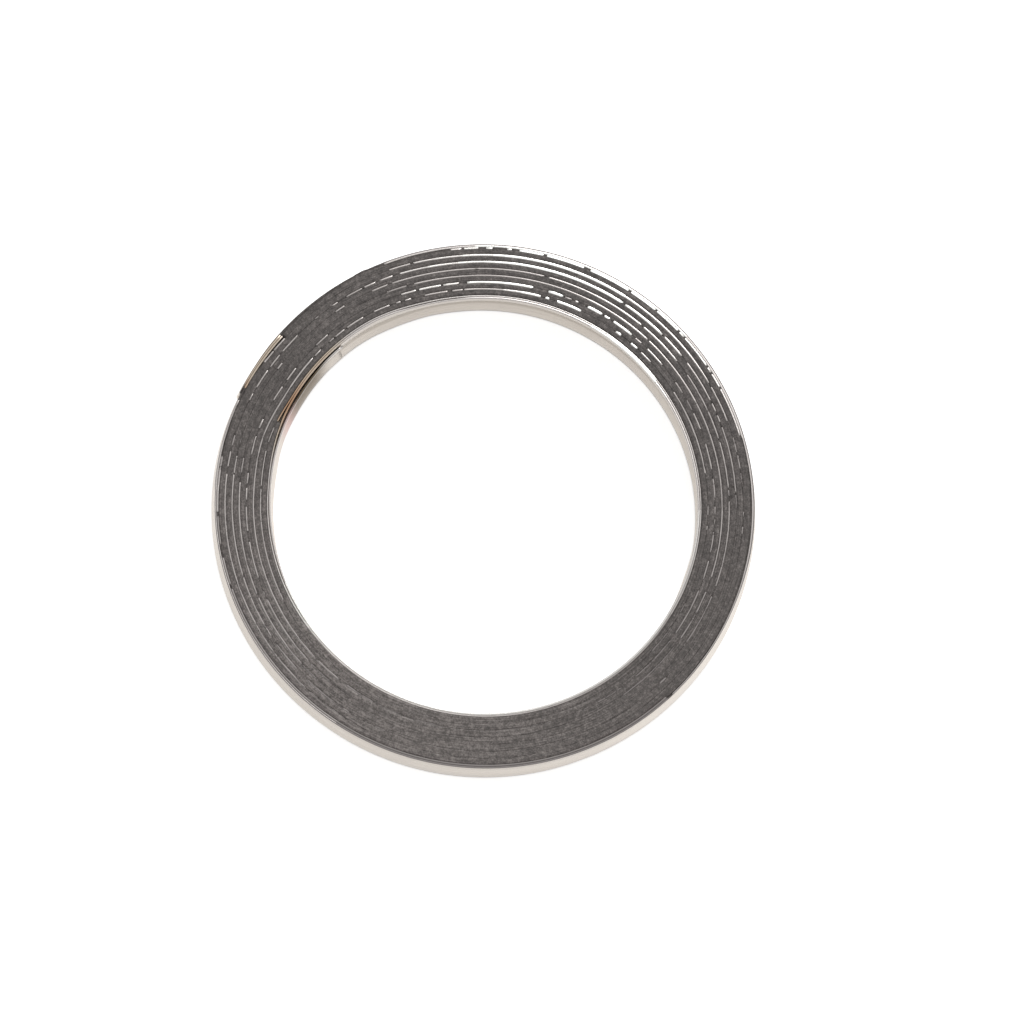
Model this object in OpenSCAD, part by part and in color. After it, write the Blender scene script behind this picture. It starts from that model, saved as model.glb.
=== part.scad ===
// Spiral-wound ring gasket: one ridged steel strip wound round the bore together with one graphite tape.
// The strip makes bare turns first, then turns with the tape between them, then bare turns again.
// Each ply runs as a circle about the bore axis. In two short sectors it steps outwards: first over the
// strip's own cut start, then over the tape's cut start. A step is a pair of tangent arcs.

/* [Ring] */
// Bore, across the straight lands of the innermost ply
bore_d = 50; // [40:1:100]
// Height over the two sealing faces of the tape
ring_h = 5.5; // [4.8:0.1:7]

/* [Steel strip] */
// Thickness of the strip
strip_t = 0.2; // [0.15:0.01:0.25]
// Straight land along each edge of the strip
edge_land = 0.9; // [0.6:0.1:1.2]
// Straight land along the ridge at mid height
ridge_land = 1; // [0.8:0.1:1.2]
// How far the ridge stands out from the edge lands
ridge_depth = 0.4; // [0.2:0.05:0.5]
// Bare plies inside the tape
bare_inner = 2; // [2:1:4]
// Bare plies outside the tape
bare_outer = 2; // [2:1:4]
// Gap left between two bare plies
ply_gap = 0.06; // [0.04:0.01:0.1]
// Room that the strip's cut start leaves under the ply that climbs over it
start_gap = 0.2; // [0.12:0.01:0.24]
// Angle of the strip's cut start, after the middle of the first step
strip_start = 8; // [7:0.5:14]
// Angle of the strip's cut end
strip_end = 32; // [26:0.5:35]
// Diameter of the spot welds that hold the strip's two ends
weld_d = 0.7; // [0.4:0.1:0.7]
// Angle from the strip's cut end back to its weld
end_weld_back = 4; // [3:0.5:5]

/* [Graphite tape] */
// Thickness of the tape
tape_t = 0.6; // [0.5:0.02:0.7]
// Layers of tape
tape_layers = 7; // [3:1:9]
// How far the tape stands proud of the strip's edges on each face
tape_proud = 0.1; // [0.05:0.01:0.2]
// Clearance between the tape and the strip on each side
tape_fit = 0.015; // [0.01:0.005:0.03]
// Angle of the tape's cut start
tape_start = 33.5; // [30:0.5:36]

/* [Hidden] */
$fn = 240;

// Height of the strip's lower and upper edge, and of the ridge's middle
strip_bottom = tape_proud;
strip_top = ring_h - tape_proud;
mid_h = ring_h / 2;

// Growth of the winding in one bare turn and in one turn with tape
bare_pitch = strip_t + ply_gap;
full_pitch = strip_t + tape_t + 2 * tape_fit;

// A step spans half_step to each side of its middle, and its two arcs meet on the line through their centres.
// These slopes, and the middles at 0 and at second_mid, give the arc centres short decimals, so that
// neighbouring arcs meet exactly.
half_step = acos(0.96);
second_mid = acos(0.8);
first_from = -half_step;
first_to = half_step;
second_from = second_mid - half_step;
second_to = second_mid + half_step;

// Offset of a step's arc centres from the axis, for each millimetre that the step climbs
centre_per_climb = 1 / (2 * (1 - cos(half_step)));

// Plies are numbered from the bore outwards. Tape layer n lies between ply n and ply n + 1.
first_layer = bare_inner - 1;
last_layer = first_layer + tape_layers - 1;
last_ply = last_layer + bare_outer;

// The first step clears the strip's cut start, and stops under the bare outer plies
function first_climb(n) = n <= last_layer ? strip_t + start_gap : 0;

// Growth from ply n to ply n + 1
function pitch(n) = n >= first_layer && n <= last_layer ? full_pitch : bare_pitch;

// The second step makes up the rest of the turn's growth
function second_climb(n) = pitch(n) - first_climb(n);

// Inner radius of ply n on its run round the axis
function ply_r(n) = n <= 0 ? bore_d / 2 : ply_r(n - 1) + pitch(n - 1);

// Sectors of a turn: four stretches of the long run round the axis, the first step's two arcs,
// a short run between the steps, and the second step's two arcs
LONG_RUN = 0;
FIRST_OUT = 4;
FIRST_BACK = 5;
SHORT_RUN = 6;
SECOND_OUT = 7;
SECOND_BACK = 8;
sector_from = [second_to, 90, 180, 270, first_from, 0, first_to, second_from, second_mid];
sector_to = [90, 180, 270, 360 + first_from, 0, first_to, second_from, second_mid, second_to];

// The spot welds sit on the short run, and a little before the strip's cut end
start_weld = (first_to + second_from) / 2;
end_weld = strip_end - end_weld_back;

// Whole numbers from one to another, as a list
function span(from, to) = [for (i = [from : to]) i];

// Unit vector at an angle about the axis
function ray(angle) = [cos(angle), sin(angle), 0];

// Centre of the arc that ply n follows in a sector
function arc_centre(n, sector) =
    sector == FIRST_OUT ? -first_climb(n) * centre_per_climb * ray(first_from) :
    sector == FIRST_BACK ? first_climb(n) * centre_per_climb * ray(first_to) :
    sector == SECOND_OUT ? -second_climb(n) * centre_per_climb * ray(second_from) :
    sector == SECOND_BACK ? second_climb(n) * centre_per_climb * ray(second_to) :
    [0, 0, 0];

// Inner radius of ply n about that centre
function arc_r(n, sector) =
    ply_r(n) + (
        sector == FIRST_OUT ? first_climb(n) * centre_per_climb :
        sector == FIRST_BACK ? first_climb(n) * (1 - centre_per_climb) :
        sector == SHORT_RUN ? first_climb(n) :
        sector == SECOND_OUT ? first_climb(n) + second_climb(n) * centre_per_climb :
        sector == SECOND_BACK ? pitch(n) - second_climb(n) * centre_per_climb :
        0
    );

// Distance from the axis to ply n's inner edge, along a ray in that sector
function reach(n, sector, angle) =
    let (
        centre = arc_centre(n, sector),
        along = centre * ray(angle),
        radius = arc_r(n, sector)
    )
    along + sqrt(radius * radius - centre * centre + along * along);

// One side of the strip's section from bottom to top: edge land, slope, ridge land, slope, edge land
function wall(r, bottom, top) = [
    [r, bottom],
    [r, strip_bottom + edge_land],
    [r + ridge_depth, mid_h - ridge_land / 2],
    [r + ridge_depth, mid_h + ridge_land / 2],
    [r, strip_top - edge_land],
    [r, top]
];

// Wedge between two angles, wide enough to hold the whole ring
module wedge(from, to) {
    far = 2 * bore_d;
    corners = ceil((to - from) / 60);
    turn = (to - from) / corners;
    rim = [for (i = [0 : corners]) far * [cos(from + i * turn), sin(from + i * turn)]];
    linear_extrude(ring_h) polygon(concat([[0, 0]], rim));
}

// Ring section between an inner and an outer wall
module section(inner_r, outer_r, bottom, top) {
    outside = wall(outer_r, bottom, top);
    polygon(concat(wall(inner_r, bottom, top), [for (i = [len(outside) - 1 : -1 : 0]) outside[i]]));
}

// Strip in one sector, for a list of plies that step alike and so share one arc centre
module strip_run(plies, sector, from, to) {
    translate(arc_centre(plies[0], sector)) intersection() {
        rotate_extrude() for (n = plies) {
            section(arc_r(n, sector), arc_r(n, sector) + strip_t, strip_bottom, strip_top);
        }
        wedge(from, to);
    }
}

// Tape in one sector, for a list of layers that share one arc centre
module tape_run(layers, sector, from, to) {
    translate(arc_centre(layers[0], sector)) intersection() {
        rotate_extrude() for (n = layers) {
            section(arc_r(n, sector) + strip_t + tape_fit, arc_r(n + 1, sector) - tape_fit, 0, ring_h);
        }
        wedge(from, to);
    }
}

// Solid inside a wall that lies at an offset from ply n, through both arcs of a step
module step_core(n, first_arc, offset) {
    for (sector = [first_arc, first_arc + 1]) translate(arc_centre(n, sector)) intersection() {
        rotate_extrude() polygon(concat(wall(arc_r(n, sector) + offset, 0, ring_h), [[0, ring_h], [0, 0]]));
        wedge(sector_from[sector], sector_to[sector]);
    }
}

// Tape layer n in a step where the ply under it and the ply over it climb differently
module tape_taper(n, first_arc, from, to) {
    difference() {
        intersection() {
            step_core(n + 1, first_arc, -tape_fit);
            wedge(from, to);
        }
        step_core(n, first_arc, strip_t + tape_fit);
    }
}

// Spot weld through the ridges of two plies whose inner edges lie at these distances from the axis
module weld(inner_edge, outer_edge, angle) {
    into_ply = ridge_depth + strip_t / 2;
    rotate([0, 0, angle]) translate([inner_edge + into_ply, 0, mid_h]) rotate([0, 90, 0]) {
        cylinder(h = outer_edge - inner_edge, d = weld_d);
    }
}

// Plies that step alike: bare inner ones, those with tape outside them, and bare outer ones
ply_groups = [span(0, first_layer - 1), span(first_layer, last_layer), span(last_layer + 1, last_ply - 1)];

// Every stretch of the strip, as [plies, sector, from, to]
strip_runs = concat(
    [[[0], LONG_RUN, strip_start, second_to]],
    [for (s = [LONG_RUN : SECOND_BACK], plies = ply_groups) [plies, s, sector_from[s], sector_to[s]]],
    [for (s = [LONG_RUN : SHORT_RUN]) [[last_ply], s, sector_from[s], sector_to[s]]]
);

// Every stretch of the tape at its full thickness, as [layers, sector, from, to]
tape_runs = concat(
    [for (s = [LONG_RUN : SECOND_BACK]) [span(first_layer, last_layer - 1), s, sector_from[s], sector_to[s]]],
    [for (s = [LONG_RUN : FIRST_OUT - 1]) [[last_layer], s, sector_from[s], sector_to[s]]]
);

module steel_strip() {
    color("#cbc6bd") union() {
        for (run = strip_runs) strip_run(run[0], run[1], run[2], run[3]);
        intersection() {
            strip_run([last_ply], SECOND_OUT, second_from, second_mid);
            wedge(second_from, strip_end);
        }
        weld(bore_d / 2, reach(0, SHORT_RUN, start_weld), start_weld);
        weld(reach(last_ply - 1, SECOND_OUT, end_weld), reach(last_ply, SECOND_OUT, end_weld), end_weld);
    }
}

module graphite_tape() {
    color("#5d5b59") union() {
        tape_taper(first_layer - 1, SECOND_OUT, tape_start, second_to);
        for (run = tape_runs) tape_run(run[0], run[1], run[2], run[3]);
        tape_taper(last_layer, FIRST_OUT, first_from, first_to);
    }
}

steel_strip();
graphite_tape();
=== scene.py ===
"""Looks of the spiral-wound ring gasket: a ridged steel strip and a graphite tape, wound together."""

import math

import bpy
import numpy as np
from mathutils import Matrix, Vector


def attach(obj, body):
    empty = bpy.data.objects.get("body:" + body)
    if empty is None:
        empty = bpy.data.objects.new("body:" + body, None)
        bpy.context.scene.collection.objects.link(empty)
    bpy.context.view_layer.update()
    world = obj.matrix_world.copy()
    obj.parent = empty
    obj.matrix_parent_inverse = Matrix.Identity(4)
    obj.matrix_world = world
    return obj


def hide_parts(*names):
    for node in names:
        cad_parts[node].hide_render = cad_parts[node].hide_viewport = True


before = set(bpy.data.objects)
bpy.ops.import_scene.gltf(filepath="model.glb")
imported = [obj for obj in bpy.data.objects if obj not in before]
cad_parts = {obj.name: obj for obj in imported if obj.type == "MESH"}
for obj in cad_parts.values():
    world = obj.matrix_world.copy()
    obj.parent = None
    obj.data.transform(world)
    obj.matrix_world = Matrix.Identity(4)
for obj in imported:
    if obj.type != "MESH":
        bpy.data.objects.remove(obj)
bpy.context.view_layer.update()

# Sizes of the winding in mm and degrees, as the solids have them. Only the tape starts a little later than its solid.
# Angles of the winding count on from turn to turn, from the part's own zero at +X.
BORE_R = 25.0
RING_H = 5.5
STRIP_T = 0.2
EDGE_LAND = 0.9
RIDGE_LAND = 1.0
RIDGE_DEPTH = 0.4
TAPE_PROUD = 0.1
TAPE_FIT = 0.015
BARE_PITCH = 0.26
FULL_PITCH = 0.83
FIRST_LAYER = 1
LAST_LAYER = 7
LAST_PLY = 9
FIRST_CLIMB = 0.4
HALF_STEP = math.degrees(math.acos(0.96))
SECOND_MID = math.degrees(math.acos(0.8))
SECOND_TO = SECOND_MID + HALF_STEP
STRIP_FROM = 8.0
STRIP_TO = 360 * (LAST_PLY + 1) + 32.0
TAPE_FROM = 360 + 34.8
TAPE_TO = 360 * (LAST_LAYER + 1) + HALF_STEP
STRIP_TOP = RING_H - TAPE_PROUD
MID_H = RING_H / 2

# Before the first angle the strip is its own cut start, and after the second its first turn comes round to that start
START_LAST = 90
TURN_FROM = 180

# Stations in each turn of the strip and of the tape, and how close they lie to each end of an edge that shows
STRIP_STATIONS = 255
TAPE_STATIONS = 500
DIP_HALF = .1

# Angle between the part's own zero and the right-hand side of the picture
PICTURE_TURN = 123.0

# The photograph's viewpoint: distance in mm, focal length in px, tilt from straight down, direction of the far side,
# and where the middle of the ring's upper face lies from the middle of the picture, in px to the left and up
VIEW_DISTANCE = 795.0
VIEW_FOCAL = 6797.0
VIEW_TILT = 14.13
VIEW_FAR = 81.56
VIEW_LEFT = 27.53
VIEW_UP = 7.81

# Width of the picture in px, and of the camera's sensor in mm
PICTURE_SIZE = 1024
SENSOR = 36
CLIP_START = .01

# Directions in the picture are taken about this point, in px to the left and up from the middle of the picture,
# for points on the upper face at this distance in mm from the axis
HUB_LEFT = 28.0
HUB_UP = 1.0
HUB_RING_R = 29.0

plies = np.arange(LAST_PLY + 2)
pitches = np.where((plies >= FIRST_LAYER) & (plies <= LAST_LAYER), FULL_PITCH, BARE_PITCH)
first_climbs = np.where(plies <= LAST_LAYER, FIRST_CLIMB, 0.0)
second_climbs = pitches - first_climbs
ply_radii = BORE_R + np.concatenate([[0.0], np.cumsum(pitches)[:-1]])


def picture_angle(angle):
    """Direction in the picture of a point on the upper face, at an angle of the winding."""
    turn = np.radians(angle + PICTURE_TURN - VIEW_FAR)
    tilt = math.radians(VIEW_TILT)
    far = HUB_RING_R * np.cos(turn)
    scale = VIEW_FOCAL / (VIEW_DISTANCE + far * math.sin(tilt))
    ahead = scale * far * math.cos(tilt)
    aside = -scale * HUB_RING_R * np.sin(turn)
    up = math.radians(VIEW_FAR)
    x = ahead * math.cos(up) + aside * math.sin(up) + HUB_LEFT - VIEW_LEFT
    y = ahead * math.sin(up) - aside * math.cos(up) + VIEW_UP - HUB_UP
    return np.mod(np.degrees(np.arctan2(y, x)), 360)


def winding_angle(picture):
    """Angle about the part's axis, from -123 to 237 degrees, that shows in a direction of the picture."""
    table = np.arange(-140.0, 260.0, .25)
    seen = np.degrees(np.unwrap(np.radians(picture_angle(table))))
    seen = seen - 360 * np.round((seen[0] - (table[0] + PICTURE_TURN)) / 360)
    return np.interp(picture, seen, table)


def picture_turn(angle):
    """Direction in the picture of an angle within half a turn or so of the part's zero, without wrapping round."""
    plain = angle + PICTURE_TURN
    return plain + np.mod(picture_angle(angle) - plain + 180, 360) - 180


# From here on, tables and pairs of numbers are directions in the picture, in degrees, unless they say otherwise.
# Where each ply steps outwards: the middle and half length of its two steps. The pressed ring isn't quite even,
# so these lie within a quarter of a millimetre of the solids' own steps.
FIRST_AT = 111.0
FIRST_HALF = 16.0
SECOND_AT = np.array([160, 156, 156, 154, 152, 150, 149, 148, 152, 152, 152], float)
SECOND_HALF = np.array([12, 8, 8, 10, 12, 14, 16, 16, 16, 16, 16], float)

# How far the plies next to the strip's stiff start stand out from the circle there, in mm from the bore outwards
START_BULGE = np.array([.2, .2, .16, .1, .05, .02, 0, 0, 0, 0, 0])
BULGE_RISE = 106, 122
BULGE_FALL = 158, 176

# The strip's start stands out by so many mm more at its cut end, and is back on the circle by this angle of the winding
LEAD_EXTRA = .06
LEAD_SETTLE = 136, 150
LEAD_FALL = 150, 186
LEAD_LAST = 250

# How far in mm the innermost ply's lower edge stands in, and where that rises and falls: where it passes over the
# strip's cut start and on the right, and along the start itself up to this angle of the winding.
# It grows from none at the upper edge to its full value at this height in mm.
TURN_LEANS = [(.31, (103, 119), (132.8, 136)), (.1, (132.8, 136), (136, 160)), (.26, (-38, -20), (-18, -5))]
START_LEANS = [(.1, (134, 152), (202, 226)), (.26, (156, 170), (202, 226))]
START_LEAN_LAST = 120
LEAN_H = 2.4

# How far in mm the outermost ply's upper edge is turned out, on the far side
BURR = .14
BURR_RISE = -25, -5
BURR_FALL = 140, 152

# Standard deviations of the noise that fill its range from 0 to 1
NOISE_SPREAD = 2.5


def ply_of(angle):
    """Number of the ply that passes at an angle of the winding, from the bore outwards."""
    return np.clip(np.floor((angle - SECOND_TO) / 360), 0, LAST_PLY + 1).astype(int)


def in_tape(n):
    """Whether ply n has tape on both sides."""
    return (n > FIRST_LAYER) & (n <= LAST_LAYER)


def ease(value, low, high):
    """Smooth rise from 0 at low to 1 at high."""
    part = np.clip((value - low) / (high - low), 0, 1)
    return part * part * (3 - 2 * part)


def plateau(value, rise, fall):
    """Smooth rise from 0 to 1 over one stretch, and smooth fall back over another."""
    return ease(value, *rise) * (1 - ease(value, *fall))


def winding_r(angle):
    """Distance in mm from the axis to the strip's inner edge, at an angle of the winding."""
    n = ply_of(angle)
    picture = picture_turn(angle - 360 * (n + 1))
    first = first_climbs[n] * ease(picture, FIRST_AT - FIRST_HALF, FIRST_AT + FIRST_HALF)
    second = second_climbs[n] * ease(picture, SECOND_AT[n] - SECOND_HALF[n], SECOND_AT[n] + SECOND_HALF[n])
    bulge = START_BULGE[n] * plateau(picture, BULGE_RISE, BULGE_FALL)
    start = picture_turn(angle)
    lead = START_BULGE[0] + LEAD_EXTRA * (1 - ease(start, *LEAD_SETTLE))
    lead = lead * (1 - ease(start, *LEAD_FALL)) * (angle < LEAD_LAST)
    return ply_radii[n] + first + second + np.where(n == 0, np.maximum(bulge, lead), bulge)


def lean(angle):
    """How far in mm the innermost ply's lower edge stands in from its upper edge, at an angle of the winding."""
    over_start = picture_turn(angle - 360)
    start = picture_turn(angle)
    turn_lean = sum(depth * plateau(over_start, rise, fall) for depth, rise, fall in TURN_LEANS)
    start_lean = sum(depth * plateau(start, rise, fall) for depth, rise, fall in START_LEANS)
    first_turn = (angle > TURN_FROM) & (angle < 360 + SECOND_TO)
    return np.where(first_turn, turn_lean, np.where(angle < START_LEAN_LAST, start_lean, 0.0))


def burr(angle):
    """How far in mm the outermost ply's upper edge is turned out, at an angle of the winding."""
    n = ply_of(angle)
    return BURR * (n == LAST_PLY) * plateau(picture_turn(angle - 360 * (n + 1)), BURR_RISE, BURR_FALL)


def smooth_noise(seed, rows, columns, along, across):
    """Seeded noise from -1 to 1 on a grid, smoothed over so many rows and columns."""
    grid = np.random.RandomState(seed).normal(size=(rows, columns))
    for axis, width in ((0, along), (1, across)):
        if width > 1:
            kernel = np.hanning(width + 2)[1:-1]
            kernel /= math.sqrt((kernel ** 2).sum())
            grid = np.apply_along_axis(np.convolve, axis, grid, kernel, "same")
    return np.clip(grid / NOISE_SPREAD, -1, 1)


def periodic(angle, points):
    """Value at a picture angle, between points given as (angle, value)."""
    at, value = zip(*points)
    return np.interp(np.mod(angle, 360), at, value, period=360)


def bump_at(angle, middle, half_width):
    """Smooth hump of height 1 round a picture angle."""
    gap = np.abs(np.mod(angle - middle + 180, 360) - 180)
    return ease(1 - gap / half_width, 0, 1)


# Where each ply's edge shows through the smeared graphite, as (from, to, how bright). How bright is partly burnish,
# which widens the edge, and partly painted highlight in its colour. Thin dull lines are about 0.3, and lines that are
# burnished wide and painted white as a highlight are 1.
EDGES_SHOWN = {
    0: [(0, 32, .38), (32, 37, .5), (37, 53, 1), (53, 60, .7), (60, 200, .4), (200, 330, .55), (330, 360, .5)],
    1: [(0, 37, .38), (37, 55, .7), (55, 60, .55), (60, 66, .5), (66, 112, .45), (112, 156.6, .45),
        (158.3, 162.4, .25), (164.6, 173.8, .28), (174.4, 214, .4), (214, 331, .32), (331, 360, .45)],
    2: [(0, 1.4, .25), (9.5, 32.1, .35), (41.6, 45.3, .5), (46.6, 48.8, .8), (52, 53.7, .85), (64.1, 70.8, .95),
        (72.9, 74, .85), (75.2, 80.4, .8), (80.4, 85, .65), (85, 95.2, .45), (95.5, 98.3, .4), (99.5, 105.5, .38),
        (109, 110.7, .35), (111.8, 113, .35), (114.7, 119, .35), (122, 126.8, .35), (127.6, 130.5, .35),
        (131, 132.5, .3), (135.3, 137.5, .35), (138.2, 147.4, .42), (147.4, 174.4, .26), (174.4, 204, .28),
        (320, 328, .12), (332.6, 335.4, .15), (355, 356.1, .3), (358.7, 360, .3)],
    3: [(0, 1.1, .25), (3.2, 8, .3), (10.3, 16.9, .35), (20.7, 25, .4), (25.8, 28.7, .15), (30.7, 33.9, .3),
        (39.3, 44.8, .55), (46.8, 48.8, .4), (50, 55.7, .85), (56.8, 58.3, .75), (59, 63.1, .95), (65.7, 66.6, .55),
        (67.5, 69.3, .3), (69.8, 73.7, .95), (77.6, 94.3, .9), (96.3, 100.3, .65), (100.9, 106.4, .6),
        (107.2, 111, .5), (131.6, 135.4, .35), (142.8, 146.5, .38), (148.3, 152.3, .3), (157.4, 159.8, .35),
        (161.8, 166.4, .28), (170.8, 173.5, .3), (174.4, 229.4, .32), (231.7, 240, .2), (241, 260, .08),
        (270, 288, .1), (296.4, 308, .15), (312.5, 325, .2), (327.4, 339.7, .35), (342.6, 347.5, .35),
        (349.5, 354.7, .35), (356.5, 358, .25), (359, 360, .25)],
    4: [(0, 27.6, .35), (27.6, 45.9, .5), (46.4, 55, .55), (55, 64, .47), (64, 107.2, .36), (109, 114, .2),
        (167.5, 171, .2), (173.2, 174.4, .3), (174.4, 177.3, .35), (178.9, 184.9, .3), (187.5, 196.6, .3),
        (199.8, 201, .35), (202, 220.8, .28), (221, 228, .12), (307, 326, .15), (327, 340, .35), (343.8, 360, .4)],
    5: [(0, 2.3, .3), (3.5, 5, .2), (5.4, 16.4, .35), (17.2, 33.9, .35), (37.9, 49.1, .6), (49.8, 56, .6),
        (56, 63, .5), (63, 74.6, .42), (75.6, 112, .35), (113, 117, .3), (124.2, 126.7, .32), (143.7, 145.4, .38),
        (162.9, 165, .1), (167.3, 171.3, .25), (171.6, 174.4, .3), (174.4, 200, .3), (201, 220, .28),
        (220.3, 225, .15), (326, 339.5, .25), (342, 360, .35)],
    6: [(0, 3.8, .15), (4.3, 19.5, .3), (20.7, 22.4, .35), (23.3, 25.3, .45), (26.1, 36.2, .5), (38.2, 44.1, .65),
        (44.8, 55.7, .8), (56.3, 90, .95), (90, 96, .8), (96, 103, .65), (103, 109.5, .52), (111.2, 114.4, .42),
        (115.3, 118.1, .38), (118.7, 122.7, .25), (125, 126.5, .3), (130.2, 131.3, .25), (136.5, 141.6, .35),
        (142.5, 146.2, .35), (146.8, 151.4, .32), (152.9, 154.6, .35), (162.9, 165.3, .2), (166.5, 170, .28),
        (171.6, 174.4, .3), (174.4, 210.4, .3), (212.7, 220.2, .25), (223.6, 231.7, .2), (234.5, 236.3, .3),
        (240, 242, .1), (243, 246, .1), (315.6, 317.6, .3)],
    7: [(5.5, 8.6, .15), (9.5, 12.6, .25), (13.2, 16.6, .25), (20.4, 28.8, .45), (29.8, 57, .65), (57, 88, .95),
        (88, 95, .8), (95, 101, .62), (101, 106, .5), (106.6, 111.5, .38), (139, 142.5, .36), (142.8, 145.8, .36),
        (168, 171, .2), (171, 174.4, .35), (174.4, 224.8, .3), (226, 236, .1), (355, 356.7, .25), (358.7, 360, .2)],
    8: [(16.6, 27.4, .4), (27.9, 31.1, .5), (31.6, 32.8, .5), (33.3, 40.8, .55), (41.2, 42.6, .55),
        (43.1, 49.2, .75), (49.7, 56.2, .85), (56.9, 66.2, .95), (67.8, 76.2, .95), (77, 82.3, .9), (84, 85, .7),
        (88.2, 89.6, .7), (91.3, 94.4, .55), (95, 97.3, .45), (139, 152.6, .4), (155.5, 165, .3), (165, 180, .36),
        (181, 187, .15), (190, 196, .2), (197, 235, .16), (235, 314.5, .09)],
    9: [(0, 16, .4), (16, 41, .5), (41, 92, .8), (92, 112, .5), (139, 153, .42), (174.4, 197, .4), (197, 235, .28),
        (235, 314.6, .1), (316, 360, .35)],
}

# Painted light: how the painted highlight on the edges between the tape's turns changes round the picture
PAINTED_EDGE_LIGHT = [(0, .6), (15, .65), (30, .6), (42, .85), (60, 1), (75, 1), (90, .75), (105, 1), (120, 1.08),
              (135, .85), (150, .95), (178, .85), (190, .75), (205, .7), (225, .6), (240, .5), (262, .4), (300, .45),
              (330, .45), (345, .5)]

# How far an edge is clear of graphite: the least where it shows, more by how bright it is and on a bare ply,
# and where it doesn't show
CLEAR_LEAST = .48
CLEAR_BRIGHT = .6
CLEAR_BARE = .25
CLEAR_HIDDEN = .1

# Where the gap outside the innermost ply is burnished shut, and the stretch where that outside the last taped ply is
SHUT_INSIDE = [(0, 1), (93, 1), (97, 0), (110, 0), (114, 1), (155, 1), (158, 0), (190, 0), (200, 1)]
SHUT_OUTSIDE = 145, 174.4

# How far the graphite is rubbed smoother and painted lighter, as painted sheen, round the picture
RUBBED_AND_SHEEN = [(0, -.1), (25, -.3), (45, -.3), (90, -.15), (110, -.1), (130, .1), (145, -.15), (165, .25), (190, .55),
          (205, .8), (220, 1), (245, 1), (275, .8), (300, .45), (320, .15), (340, .1)]

# How far in mm the outermost turn of tape is smeared outwards over the bare plies, round the picture
SMEARED = [(0, .1), (6, .28), (12, .32), (16, .3), (17, .155), (86, .155), (91, .08), (96, .17), (111, .17),
           (112.5, .36), (115, .5), (117, .58), (121, .6), (124, .5), (128, .42), (139.2, .4), (139.4, .155),
           (145.5, .155), (146.5, .28), (153, .29), (157, .3), (163, .27), (169, .1), (176, .1), (186, .1),
           (192, .155), (314, .155), (316, .25), (330, .24), (338, .12), (344, .1), (350, .2), (356, .18)]

# Heat tint on the edges that pass over the strip's start: its strength, its brown spot as (middle, half width),
# and where it ends on the innermost ply and on the next
START_SECTOR = 100, 200
START_TINT = .4
START_TINT_RISE = 126, 138
START_SPOT = .55
START_SPOT_AT = 151, 9
START_TINT_FALL = 156
START_TINT_ENDS = 170, 158

# The same beside the strip's cut end
END_TINT = .3
END_TINT_RISE = 137, 140
END_TINT_FALL = 152, 154
END_SPOT = .5
END_SPOT_AT = 152, 1.6

# Brown stain on the strip's start, its share at the lower edge and the height in mm where it is full, and the pink
# flush past it as (middle, half width)
STAIN_RISE = 134, 141
STAIN_FALL = 148, 156
STAIN_LOW = .6
STAIN_FULL_H = 3.4
FLUSH_AT = 153.5, 7

# Graphite smeared on the strip's cut end: over these angles before the end, and these heights in mm
SOOT_BEFORE = 2.4, 1.9
SOOT_H = 4.7, 5.2

# The strip's section in mm: how far its edges are rounded, directions round an edge in degrees, how far from a bend
# the wall is eased, how much higher an edge that shows stands, and where the wall starts under the upper edge
EDGE_ROUND = .06
EDGE_FAN = np.radians([0, 55, 90, 125, 180])
BEND_EASE = .16
EDGE_RISE = .05
NECK_H = STRIP_TOP - EDGE_ROUND - .06

# Lips in mm that burnishing draws out of an edge: from this brightness up, between turns of tape and on bare plies,
# the least of any edge that shows between turns of tape, how uneven they are, and how far one reaches over a shut gap
LIP_FROM = .4
LIP_TAPED = .115
LIP_BARE = .02
LIP_LEAST = .045
LIP_UNEVEN = .25
LIP_SEED = 3
LIP_SMOOTH = 5
SHUT_REACH = .08

# Brightness on an edge: how much duller its flanks are between turns of tape, as painted shade, the most on the
# outermost ply's outer flank, which is darkened as a painted shade outline, and the even state of the lower edges
FLANK_SHADE = .45
RIM_SHADED_BRIGHT = .1
LOWER_BRIGHT = .3
LOWER_CLEAR = .55

# Painted shade in the groove of the bore's wall: height of its middle in mm, and how far from there it fades
GROOVE_H = MID_H + .1
GROOVE_FADE = .4, .9

# The tape's upper face: points across its thickness from 0 to 1, how far it lies under the full height in mm with its
# grain and swell, the most of that, and how much lower its rim and the point next to it lie where they lap nothing
CROWN = np.array([0, .06, .2, .4, .6, .8, .94, 1])
CROWN_RIM = .1
CROWN_SAG = .035
CROWN_GRAIN = .018
CROWN_SWELL = .015
CROWN_SAG_MOST = .2
RIM_DIP = .08
NEXT_DIP = .02
GRAIN_SEED, GRAIN_SMOOTH = 11, (3, 1)
SWELL_SEED, SWELL_SMOOTH = 12, (25, 3)
RAGGED_SEED, RAGGED_SMOOTH = 13, (4, 1)

# How far in mm the tape laps over the middle of an edge, how an edge that shows keeps it off, and how raggedly
LAP_PAST = .04
LAP_FULL = 1.2
LAP_CLEARED = 1.6
LAP_RAGGED = .3

# Teeth along the outermost smear: everywhere, and more round these directions, as (middle, half width)
TEETH = .12
TEETH_MORE = .3
TEETH_AT = (345, 40), (108, 18)

# The tape's lower face: points across its thickness, and their heights in mm
LOWER_FACE = [(0, .1), (.06, .04), (.4, .005), (.6, .005), (.94, .04), (1, .1)]


def brightness(angle):
    """How bright the strip's edge is painted, as highlight, and how wide it is burnished, at an angle of the winding,
    from 0 to 1.
    """
    n = ply_of(angle)
    at = picture_angle(angle)
    level = np.zeros(len(angle))
    for ply, stretches in EDGES_SHOWN.items():
        for start, stop, bright in stretches:
            level = np.where((n == ply) & (at >= start) & (at <= stop), bright, level)
    # Between turns of tape the edges get painted light that changes round the picture
    return np.where(in_tape(n), level * periodic(at, PAINTED_EDGE_LIGHT), level)


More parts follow.
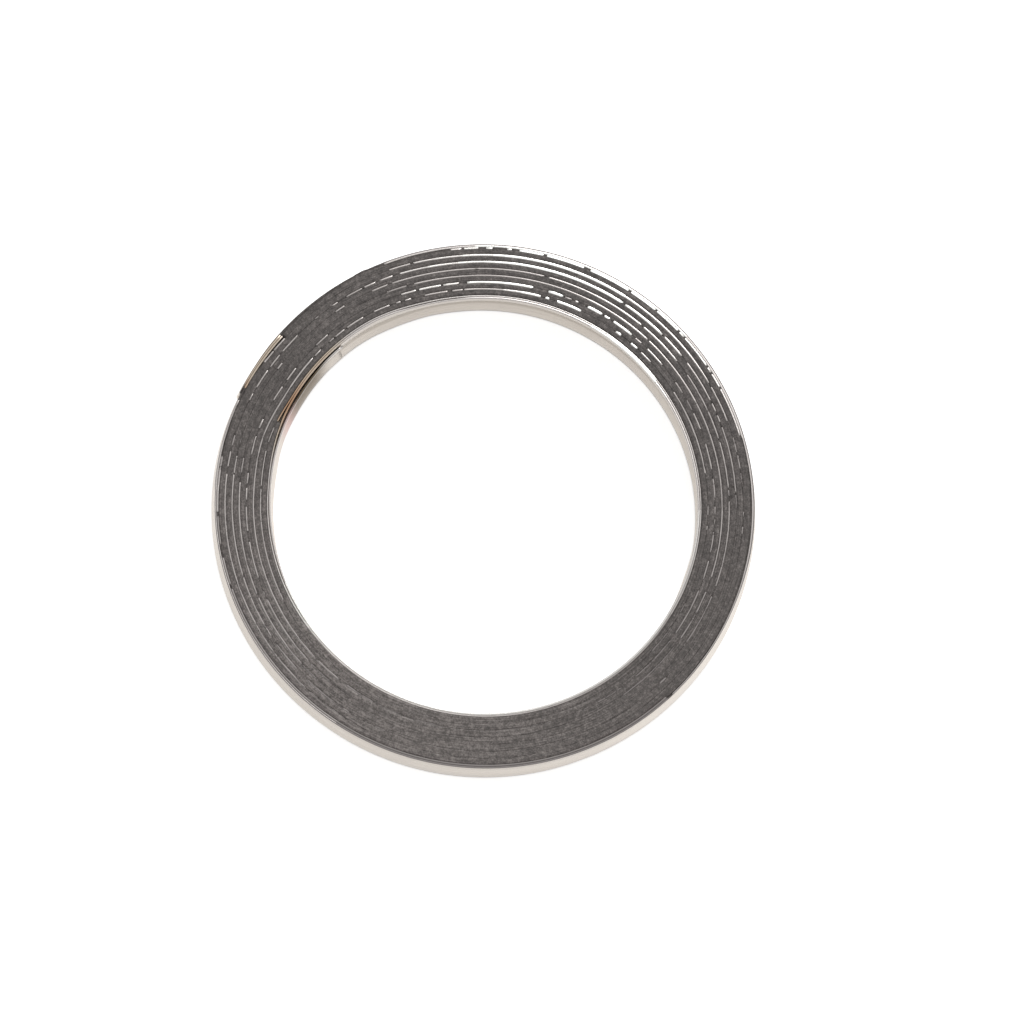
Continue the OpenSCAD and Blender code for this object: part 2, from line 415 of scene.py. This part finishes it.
def shown(angle):
    """How far the strip's edge is clear of graphite at an angle of the winding, from 0 to 1."""
    bright = brightness(angle)
    n = ply_of(angle)
    bare_ply = (n == 0) | (n > LAST_LAYER)
    clear = np.clip(CLEAR_LEAST + CLEAR_BRIGHT * bright + CLEAR_BARE * bare_ply, 0, 1)
    return np.where(bright > 0, clear, CLEAR_HIDDEN)


def stations(start, stop, per_turn):
    """Angles along a winding, evenly spaced and closer where an edge dips under the graphite or comes out."""
    even = np.linspace(start, stop, int((stop - start) / 360 * per_turn))
    ends = []
    for ply, stretches in EDGES_SHOWN.items():
        for stretch in stretches:
            for end in stretch[:2]:
                turn = winding_angle(end) + 360 * ply
                turn += 360 * np.ceil((SECOND_TO - (turn - 360 * ply)) / 360)
                ends += [turn - DIP_HALF, turn + DIP_HALF]
    ends = np.array(ends)
    ends = ends[(ends > start) & (ends < stop)]
    return np.unique(np.round(np.concatenate([even, ends]), 3))


def scorch(angle):
    """Heat tint on the strip's edges beside its two welded ends, at an angle of the winding, from 0 to 1."""
    n = ply_of(angle)
    picture = picture_angle(angle)
    in_sector = (picture > START_SECTOR[0]) & (picture < START_SECTOR[1])
    over_start = (n <= 1) & (angle > TURN_FROM) & in_sector
    start = START_TINT * ease(picture, *START_TINT_RISE) + START_SPOT * bump_at(picture, *START_SPOT_AT)
    start = start * (1 - ease(picture, START_TINT_FALL, np.where(n == 0, *START_TINT_ENDS)))
    end = END_TINT * plateau(picture, END_TINT_RISE, END_TINT_FALL) + END_SPOT * bump_at(picture, *END_SPOT_AT)
    return np.where(over_start, start, np.where(n >= LAST_PLY - 1, end, 0))


def browned(angle):
    """Brown stain on the strip's start, from 0 to 1."""
    return np.where(angle < START_LAST, plateau(picture_angle(angle), STAIN_RISE, STAIN_FALL), 0)


def flushed(angle):
    """Pink flush on the bore's wall past the stain, from 0 to 1."""
    return np.where(angle < START_LAST, bump_at(picture_angle(angle), *FLUSH_AT), 0)


def sweep(name, radius, height, angle, along, around, marks):
    """Mesh from closed sections: radius and height in mm by (station, point), with run UVs and point marks."""
    rows, points = radius.shape
    turn = np.radians(angle)[:, None]
    co = np.stack([radius * np.cos(turn), radius * np.sin(turn), height], axis=2).reshape(-1, 3) / 1000
    i, j = np.meshgrid(np.arange(rows - 1), np.arange(points), indexing="ij")
    k = (j + 1) % points
    quads = np.stack([i * points + j, i * points + k, (i + 1) * points + k, (i + 1) * points + j], axis=2)
    quads = quads.reshape(-1, 4)
    count = len(quads)
    caps = np.concatenate([np.arange(points)[::-1], (rows - 1) * points + np.arange(points)])
    loops = np.concatenate([quads.ravel(), caps])
    starts = np.concatenate([np.arange(count) * 4, [count * 4, count * 4 + points]])
    totals = np.concatenate([np.full(count, 4), [points, points]])

    mesh = bpy.data.meshes.new(name)
    mesh.vertices.add(len(co))
    mesh.vertices.foreach_set("co", co.ravel())
    mesh.loops.add(len(loops))
    mesh.loops.foreach_set("vertex_index", loops.astype(np.int32))
    mesh.polygons.add(len(starts))
    mesh.polygons.foreach_set("loop_start", starts.astype(np.int32))
    mesh.polygons.foreach_set("loop_total", totals.astype(np.int32))

    reach = np.concatenate([around, [around[-1] + around[1] - around[0]]])
    u = np.stack([along[i], along[i], along[i + 1], along[i + 1]], axis=2).reshape(-1)
    v = np.stack([reach[j], reach[j + 1], reach[j + 1], reach[j]], axis=2).reshape(-1)
    u = np.concatenate([u, np.full(points, along[0]), np.full(points, along[-1])])
    v = np.concatenate([v, around[::-1], around])
    uv = mesh.uv_layers.new(name="run")
    uv.data.foreach_set("uv", np.stack([u, v], axis=1).ravel())
    for mark, values in marks.items():
        layer = mesh.attributes.new(mark, "FLOAT", "POINT")
        layer.data.foreach_set("value", np.broadcast_to(values, radius.shape).astype(np.float32).ravel())
    mesh.update(calc_edges=True)
    mesh.validate()
    mesh.shade_smooth()
    mesh.polygons[count].use_smooth = False
    mesh.polygons[count + 1].use_smooth = False
    piece = bpy.data.objects.new(name, mesh)
    bpy.context.scene.collection.objects.link(piece)
    return piece


def arc_length(radius, angle):
    """Length in mm along a run from its start."""
    steps = np.hypot(np.diff(radius), np.radians(np.diff(angle)) * (radius[1:] + radius[:-1]) / 2)
    return np.concatenate([[0.0], np.cumsum(steps)])


def section_length(across, height):
    """Length in mm round a closed section, from its first point to each point."""
    steps = np.hypot(np.diff(across, append=across[0]), np.diff(height, append=height[0]))
    return np.concatenate([[0.0], np.cumsum(steps)[:-1]])


def ridged_wall(low, high, soften):
    """The four bends on one side of the strip's section, as (offset, height), each eased into two where asked."""
    knees = [(0.0, TAPE_PROUD + EDGE_LAND), (RIDGE_DEPTH, MID_H - RIDGE_LAND / 2),
             (RIDGE_DEPTH, MID_H + RIDGE_LAND / 2), (0.0, STRIP_TOP - EDGE_LAND)]
    if not soften:
        return knees
    line = [(0.0, low)] + knees + [(0.0, high)]
    eased = []
    for before, knee, after in zip(line, knees, line[2:]):
        for other in (before, after):
            part = soften / math.hypot(other[0] - knee[0], other[1] - knee[1])
            eased.append((knee[0] + (other[0] - knee[0]) * part, knee[1] + (other[1] - knee[1]) * part))
    return eased


def make_strip():
    """The strip: a ridged section with rounded edges, burnished wider and painted with highlights where the picture
    shows bright lines, with painted shade on edge flanks and in the bore's groove.
    """
    angle = stations(STRIP_FROM, STRIP_TO, STRIP_STATIONS)
    count = len(angle)
    radius = winding_r(angle)
    at = picture_angle(angle)
    n = ply_of(angle)
    taped = in_tape(n)
    show = shown(angle)
    bright = brightness(angle)
    lip = np.where(taped, LIP_TAPED, LIP_BARE) * np.clip((bright - LIP_FROM) / (1 - LIP_FROM), 0, 1)
    lip = lip + np.where(taped & (bright > 0), LIP_LEAST, 0)
    lip = lip * (1 + LIP_UNEVEN * smooth_noise(LIP_SEED, count, 1, LIP_SMOOTH, 1)[:, 0])
    shut_outside = (n == LAST_LAYER) & (at > SHUT_OUTSIDE[0]) & (at < SHUT_OUTSIDE[1])
    shut = np.where(n == 0, periodic(at, SHUT_INSIDE), (n == LAST_PLY - 1) | shut_outside)
    outward = SHUT_REACH * shut * (angle > START_LAST) + burr(angle)

    # Points of the section as (offset, height, how far they face sideways): the upper edge from its outer side to
    # its inner side, down the inner wall, round the lower edge, and up the outer wall
    fan = [(math.cos(turn), math.sin(turn)) for turn in EDGE_FAN]
    wall = ridged_wall(TAPE_PROUD + EDGE_ROUND, STRIP_TOP - EDGE_ROUND, BEND_EASE)
    half = STRIP_T / 2
    zero = np.zeros(count)
    columns = []
    for aside, upward in fan:
        wide = (half + lip + (outward if aside > 0 else 0)) * aside
        columns.append((half + wide, STRIP_TOP - EDGE_ROUND * (1 - upward) + EDGE_RISE * show, abs(aside)))
    columns.append((zero, NECK_H + zero, 1.0))
    columns += [(offset + zero, height + zero, 1.0) for offset, height in reversed(wall)]
    for aside, upward in reversed(fan):
        columns.append((half + half * aside + zero, TAPE_PROUD + EDGE_ROUND * (1 - upward) + zero, abs(aside)))
    columns += [(STRIP_T + offset + zero, height + zero, 1.0) for offset, height in wall]
    columns.append((STRIP_T + zero, NECK_H + zero, 1.0))
    offsets = np.stack([column[0] for column in columns], axis=1)
    heights = np.stack([column[1] for column in columns], axis=1)
    across = np.array([column[2] for column in columns])
    offsets = offsets - lean(angle)[:, None] * (1 - ease(heights, LEAN_H, STRIP_TOP))

    first_inner = len(fan) // 2 + 1
    inner_side = np.zeros(len(columns))
    inner_side[first_inner:first_inner + len(fan) + len(wall)] = 1
    lower = slice(len(fan) + len(wall) + 2, 2 * len(fan) + len(wall))
    cap = np.zeros(len(columns))
    cap[:len(fan)] = 1
    cap[lower] = 1
    # Painted shade: flanks between turns of tape are darker, and the outermost ply's outer flank is a dark painted
    # outline
    edge = bright[:, None] * (1 - FLANK_SHADE * across * taped[:, None])
    edge[:, 0] = np.where(n >= LAST_PLY, 0, edge[:, 0])
    edge[:, 1] = np.where(n >= LAST_PLY, np.minimum(bright, RIM_SHADED_BRIGHT), edge[:, 1])
    edge[:, lower] = LOWER_BRIGHT
    clear = np.repeat(show[:, None], len(columns), axis=1)
    clear[:, lower] = LOWER_CLEAR
    soot = ease(angle, STRIP_TO - SOOT_BEFORE[0], STRIP_TO - SOOT_BEFORE[1])
    marks = {
        "cap": cap,
        "across": across,
        "shown": clear,
        "bright": edge,
        "scorch": scorch(angle)[:, None],
        "browned": browned(angle)[:, None] * (STAIN_LOW + (1 - STAIN_LOW) * ease(heights, 0, STAIN_FULL_H)),
        "flushed": flushed(angle)[:, None],
        # Painted shade in the groove of the innermost ply's bore wall
        "groove": inner_side * (1 - ease(np.abs(heights - GROOVE_H), *GROOVE_FADE)) * (n == 0)[:, None],
        "sooty": soot[:, None] * ease(heights, *SOOT_H),
    }
    around = section_length(offsets[0], heights[0])
    return sweep("wound_strip", radius[:, None] + offsets, heights, angle, arc_length(radius, angle), around, marks)


def make_tape():
    """The tape: pressed between the plies, with a grainy crown and ragged lips that lap over the strip's edges."""
    angle = stations(TAPE_FROM, TAPE_TO, TAPE_STATIONS)
    count = len(angle)
    at = picture_angle(angle)
    inner = winding_r(angle) + STRIP_T + TAPE_FIT
    outer = winding_r(angle + 360) - TAPE_FIT
    thick = outer - inner

    grain = smooth_noise(GRAIN_SEED, count, len(CROWN), *GRAIN_SMOOTH)
    swell = smooth_noise(SWELL_SEED, count, len(CROWN), *SWELL_SMOOTH)
    ragged = smooth_noise(RAGGED_SEED, count, 2, *RAGGED_SMOOTH)
    teeth = TEETH + TEETH_MORE * sum(bump_at(at, *place) for place in TEETH_AT)
    smear = periodic(at, SMEARED) * (1 + teeth * ragged[:, 1])
    plain_reach = STRIP_T / 2 + TAPE_FIT + LAP_PAST
    reaches = plain_reach, np.where(angle > TAPE_TO - 360, smear, plain_reach)
    laps = []
    for side, ply_angle in enumerate((angle, angle + 360)):
        laps.append(np.clip(LAP_FULL - LAP_CLEARED * shown(ply_angle) + LAP_RAGGED * ragged[:, side], 0, 1))

    top = []
    for index, part in enumerate(CROWN):
        sag = CROWN_SAG + CROWN_GRAIN * grain[:, index] + CROWN_SWELL * swell[:, index]
        radius = inner + thick * part
        from_rim = min(part, 1 - part)
        if from_rim < CROWN_RIM:
            side = int(part > .5)
            shift = np.maximum(laps[side] * reaches[side], TAPE_FIT) * (1 if from_rim == 0 else .5)
            radius = radius + (shift if side else -shift)
            sag = sag + (1 - laps[side]) * (RIM_DIP if from_rim == 0 else NEXT_DIP)
        top.append((radius, RING_H - np.clip(sag, 0, CROWN_SAG_MOST)))
    zero = np.zeros(count)
    wall = ridged_wall(0, RING_H, 0)
    columns = top[::-1]
    columns += [(inner + offset, height + zero) for offset, height in reversed(wall)]
    columns += [(inner + thick * part, height + zero) for part, height in LOWER_FACE]
    columns += [(outer + offset, height + zero) for offset, height in wall]
    radii = np.stack([column[0] for column in columns], axis=1)
    heights = np.stack([column[1] for column in columns], axis=1)
    around = section_length(radii[count // 2], heights[count // 2])
    # Rubbed smoother, and painted sheen that lightens the graphite
    marks = {"rub_and_sheen": periodic(at, RUBBED_AND_SHEEN)[:, None]}
    return sweep("wound_tape", radii, heights, angle, arc_length(inner, angle), around, marks)


class Nodes:
    """Short hand for building one material's nodes."""

    def __init__(self, name):
        self.material = bpy.data.materials.new(name)
        self.material.use_nodes = True
        self.tree = self.material.node_tree
        self.tree.nodes.clear()

    def add(self, kind, inputs=None, **settings):
        made = self.tree.nodes.new("ShaderNode" + kind)
        for key, value in settings.items():
            setattr(made, key, value)
        for key, value in (inputs or {}).items():
            if isinstance(value, bpy.types.NodeSocket):
                self.tree.links.new(value, made.inputs[key])
            else:
                made.inputs[key].default_value = value
        return made

    def math(self, operation, a, b):
        return self.add("Math", {0: a, 1: b}, operation=operation).outputs[0]

    def plus(self, a, b):
        return self.math("ADD", a, b)

    def times(self, a, b):
        return self.math("MULTIPLY", a, b)

    def remap(self, value, low, high, to_low, to_high):
        inputs = {0: value, 1: low, 2: high, 3: to_low, 4: to_high}
        return self.add("MapRange", inputs, interpolation_type="SMOOTHSTEP").outputs[0]

    def ramp(self, value, stops):
        made = self.add("ValToRGB", {0: value})
        ramp = made.color_ramp
        while len(ramp.elements) < len(stops):
            ramp.elements.new(1.0)
        for element, (at, colour) in zip(ramp.elements, stops):
            element.position = at
            element.color = (*colour, 1)
        return made.outputs[0]

    def blend(self, part, a, b, kind="MIX"):
        return self.add("Mix", {0: part, 6: a, 7: b}, data_type="RGBA", blend_type=kind).outputs[2]

    def mix(self, part, a, b):
        return self.add("Mix", {0: part, 2: a, 3: b}, data_type="FLOAT").outputs[0]

    def tinted(self, mark, base, colour):
        """Base colour multiplied by another, as far as a mark on the mesh says."""
        return self.blend(self.attribute(mark), base, self.blend(1.0, base, colour, "MULTIPLY"))

    def noise(self, where, scale, detail, rough):
        inputs = {"Vector": where, "Scale": scale, "Detail": detail, "Roughness": rough}
        return self.add("TexNoise", inputs).outputs[0]

    def scaled(self, where, scale):
        return self.add("Mapping", {0: where, 3: scale}).outputs[0]

    def attribute(self, name):
        return self.add("Attribute", attribute_name=name).outputs["Fac"]

    def finish(self, colour, rough, metal, relief):
        """Surface shader from its looks, joined to the material's output."""
        inputs = {"Base Color": colour, "Roughness": rough, "Metallic": metal, "Normal": relief}
        self.add("OutputMaterial", {0: self.add("BsdfPrincipled", inputs).outputs[0]})
        return self.material


# Colours by position on a ramp: graphite by its grain, steel by its brushing, edges by their brightness, which is
# burnish and painted highlight, heat tint
GRAPHITE_RAMP = [(.3, (.018, .0153, .014)), (.44, (.047, .0402, .037)), (.56, (.08, .069, .064)),
                 (.72, (.19, .168, .157))]
STEEL_RAMP = [(.3, (.62, .56, .5)), (.5, (.74, .685, .625)), (.7, (.81, .76, .695))]
EDGE_HIGHLIGHT_RAMP = [(0, (.16, .147, .142)), (.1, (.2, .184, .178)), (.3, (.31, .287, .276)), (.45, (.43, .405, .39)),
             (.6, (.58, .57, .545)), (.9, (.8, .81, .785))]
SCORCH_RAMP = [(0, (1, 1, 1)), (.3, (1, .91, .77)), (.6, (.93, .74, .57)), (1, (.78, .5, .32))]
STEEL_PATCH = .68, .62, .59, 1
STAIN_TINT = .25, .205, .145, 1
FLUSH_TINT = 1, .8, .81, 1
# Painted shade in the groove of the bore's wall
GROOVE_SHADE = .72, .7, .67, 1

# How metallic graphite is
GRAPHITE_METAL = .25


def graphite_looks(nodes):
    """Colour, roughness and height of pressed graphite: fine grain, mottling, rolled streaks, and painted sheen where
    rubbed smoother.
    """
    place = nodes.add("TexCoord").outputs["Object"]
    run = nodes.add("UVMap", uv_map="run").outputs[0]
    fine = nodes.noise(place, 5200, 4, .7)
    mottle = nodes.noise(place, 1500, 3, .6)
    streak = nodes.noise(nodes.scaled(run, (.14, 7, 1)), 1, 3, .6)
    level = nodes.plus(nodes.times(fine, .66), nodes.times(mottle, .34))
    level = nodes.plus(level, nodes.times(nodes.math("SUBTRACT", streak, .5), .42))
    # Rubbed graphite is smoother, and lighter as painted sheen
    level = nodes.plus(level, nodes.times(nodes.attribute("rub_and_sheen"), .1))
    rough = nodes.remap(level, .3, .7, .62, .45)
    return nodes.ramp(level, GRAPHITE_RAMP), rough, level


def graphite_material():
    """The tape's material."""
    nodes = Nodes("graphite")
    colour, rough, level = graphite_looks(nodes)
    relief = nodes.add("Bump", {"Strength": .5, "Distance": .00003, "Height": level}).outputs[0]
    return nodes.finish(colour, rough, GRAPHITE_METAL, relief)


def steel_material():
    """The strip's material: brushed steel with worn edges in painted highlight and shade, heat tint and stain, and
    painted shade in the bore's groove, under a broken film of graphite.
    """
    nodes = Nodes("bright_strip")
    run = nodes.add("UVMap", uv_map="run").outputs[0]
    brushed = nodes.noise(nodes.scaled(run, (.08, 22, 1)), 1, 4, .65)
    patchy = nodes.noise(nodes.scaled(run, (.12, .5, 1)), 1, 2, .5)
    steel = nodes.ramp(brushed, STEEL_RAMP)
    steel = nodes.blend(nodes.remap(patchy, .45, .75, 0, .4), steel, STEEL_PATCH)
    # Edge colours by brightness: burnish, and painted highlight
    steel = nodes.blend(nodes.attribute("cap"), steel, nodes.ramp(nodes.attribute("bright"), EDGE_HIGHLIGHT_RAMP))
    steel = nodes.tinted("cap", steel, nodes.ramp(nodes.attribute("scorch"), SCORCH_RAMP))
    steel = nodes.tinted("browned", steel, STAIN_TINT)
    steel = nodes.tinted("flushed", steel, FLUSH_TINT)
    # Painted shade in the bore's groove
    steel = nodes.tinted("groove", steel, GROOVE_SHADE)
    edge_rough = nodes.remap(nodes.attribute("bright"), 0, .45, .62, .3)
    steel_rough = nodes.mix(nodes.attribute("cap"), nodes.remap(brushed, .3, .7, .2, .36), edge_rough)

    dashes = nodes.noise(nodes.scaled(run, (.8, 3, 1)), 1, 3, .6)
    bits = nodes.noise(nodes.scaled(run, (4.5, 9, 1)), 1, 2, .5)
    doubt = nodes.plus(nodes.times(dashes, .7), nodes.times(bits, .3))
    doubt = nodes.plus(doubt, nodes.times(nodes.attribute("across"), .1))
    bare = nodes.remap(nodes.attribute("shown"), 0, 1, .25, .82)
    film = nodes.remap(nodes.math("SUBTRACT", doubt, bare), -.03, .05, 0, 1)
    film = nodes.math("MAXIMUM", nodes.times(film, nodes.attribute("cap")), nodes.attribute("sooty"))

    graphite, graphite_rough, level = graphite_looks(nodes)
    colour = nodes.blend(film, steel, graphite)
    rough = nodes.mix(film, steel_rough, graphite_rough)
    metal = nodes.mix(film, 1.0, GRAPHITE_METAL)
    height = nodes.plus(nodes.times(brushed, .15), nodes.times(nodes.times(level, film), .8))
    relief = nodes.add("Bump", {"Strength": .35, "Distance": .00002, "Height": height}).outputs[0]
    return nodes.finish(colour, rough, metal, relief)


# The floor: width and depth under the part in m, its grey, and the light added where the camera or a mirror sees it
WHITE = 1, 1, 1, 1
FLOOR_SIZE = 6
FLOOR_Z = -.00002
FLOOR_GREY = .8, .8, .8, 1
FLOOR_SEEN = .6
FLOOR_MIRRORED = .37

# The world's strength where it lights the part, and where the camera or a mirror sees it
WORLD_LIGHT = .6
WORLD_SEEN = 1.0


def floor_lift(nodes):
    """Light that makes the floor white for the camera, and nearly white in the steel, where its shadow still shows."""
    path = nodes.add("LightPath")
    mirrored = nodes.math("MAXIMUM", path.outputs["Is Glossy Ray"], path.outputs["Is Transmission Ray"])
    straight = nodes.times(path.outputs["Is Camera Ray"], FLOOR_SEEN)
    return nodes.plus(straight, nodes.times(mirrored, FLOOR_MIRRORED))


def make_stage():
    """White floor that keeps the shadow, and a white world."""
    bpy.ops.mesh.primitive_plane_add(size=FLOOR_SIZE, location=(0, 0, FLOOR_Z))
    floor = bpy.context.object
    floor.name = "floor"
    nodes = Nodes("floor_white")
    paper = nodes.add("BsdfDiffuse", {"Color": FLOOR_GREY}).outputs[0]
    lift = nodes.add("Emission", {"Color": WHITE, "Strength": floor_lift(nodes)}).outputs[0]
    both = nodes.add("AddShader", {0: paper, 1: lift}).outputs[0]
    nodes.add("OutputMaterial", {0: both})
    floor.data.materials.append(nodes.material)

    world = bpy.data.worlds.new("studio")
    bpy.context.scene.world = world
    world.use_nodes = True
    tree = world.node_tree
    path = tree.nodes.new("ShaderNodeLightPath")
    shows = tree.nodes.new("ShaderNodeMath")
    shows.operation = "MAXIMUM"
    tree.links.new(path.outputs["Is Camera Ray"], shows.inputs[0])
    tree.links.new(path.outputs["Is Glossy Ray"], shows.inputs[1])
    level = tree.nodes.new("ShaderNodeMapRange")
    tree.links.new(shows.outputs[0], level.inputs[0])
    level.inputs[3].default_value = WORLD_LIGHT
    level.inputs[4].default_value = WORLD_SEEN
    ground = tree.nodes["Background"]
    ground.inputs[0].default_value = WHITE
    tree.links.new(level.outputs[0], ground.inputs[1])


def make_lamp(name, direction, elevation, distance, size, watts):
    """Square lamp aimed at the part, from a direction in the picture and an elevation, at a distance in m."""
    lamp = bpy.data.lights.new(name, "AREA")
    lamp.shape = "SQUARE"
    lamp.size = size
    lamp.energy = watts
    thing = bpy.data.objects.new(name, lamp)
    bpy.context.scene.collection.objects.link(thing)
    turn = math.radians(direction - PICTURE_TURN)
    rise = math.radians(elevation)
    place = distance * Vector((math.cos(rise) * math.cos(turn), math.cos(rise) * math.sin(turn), math.sin(rise)))
    thing.location = place
    thing.rotation_euler = (-place).to_track_quat("-Z", "Y").to_euler()


def make_camera():
    """The photograph's viewpoint: a long lens, steeply down, rolled so that the far side lies a little right of up."""
    tilt = math.radians(VIEW_TILT)
    far_turn = math.radians(VIEW_FAR - PICTURE_TURN)
    roll = math.radians(90 - VIEW_FAR)
    look = Vector((math.sin(tilt) * math.cos(far_turn), math.sin(tilt) * math.sin(far_turn), -math.cos(tilt)))
    up_plain = Vector((math.cos(tilt) * math.cos(far_turn), math.cos(tilt) * math.sin(far_turn), math.sin(tilt)))
    right_plain = look.cross(up_plain)
    right = math.cos(roll) * right_plain + math.sin(roll) * up_plain
    up = -math.sin(roll) * right_plain + math.cos(roll) * up_plain
    aside = VIEW_LEFT / VIEW_FOCAL * right - VIEW_UP / VIEW_FOCAL * up
    place = Vector((0, 0, RING_H / 1000)) + VIEW_DISTANCE / 1000 * (aside - look)
    data = bpy.data.cameras.new("camera")
    data.sensor_width = SENSOR
    data.lens = VIEW_FOCAL / PICTURE_SIZE * SENSOR
    data.clip_start = CLIP_START
    camera = bpy.data.objects.new("camera", data)
    bpy.context.scene.collection.objects.link(camera)
    camera.matrix_world = Matrix.Translation(place) @ Matrix((right, up, -look)).transposed().to_4x4()
    bpy.context.scene.camera = camera


strip = make_strip()
strip.data.materials.append(steel_material())
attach(strip, "root")
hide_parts("steel_strip")

tape = make_tape()
tape.data.materials.append(graphite_material())
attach(tape, "root")
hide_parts("graphite_tape")

make_stage()
make_lamp("key", direction=66, elevation=52, distance=.6, size=.25, watts=1.8)
make_camera()
bpy.context.scene.view_settings.view_transform = "Standard"
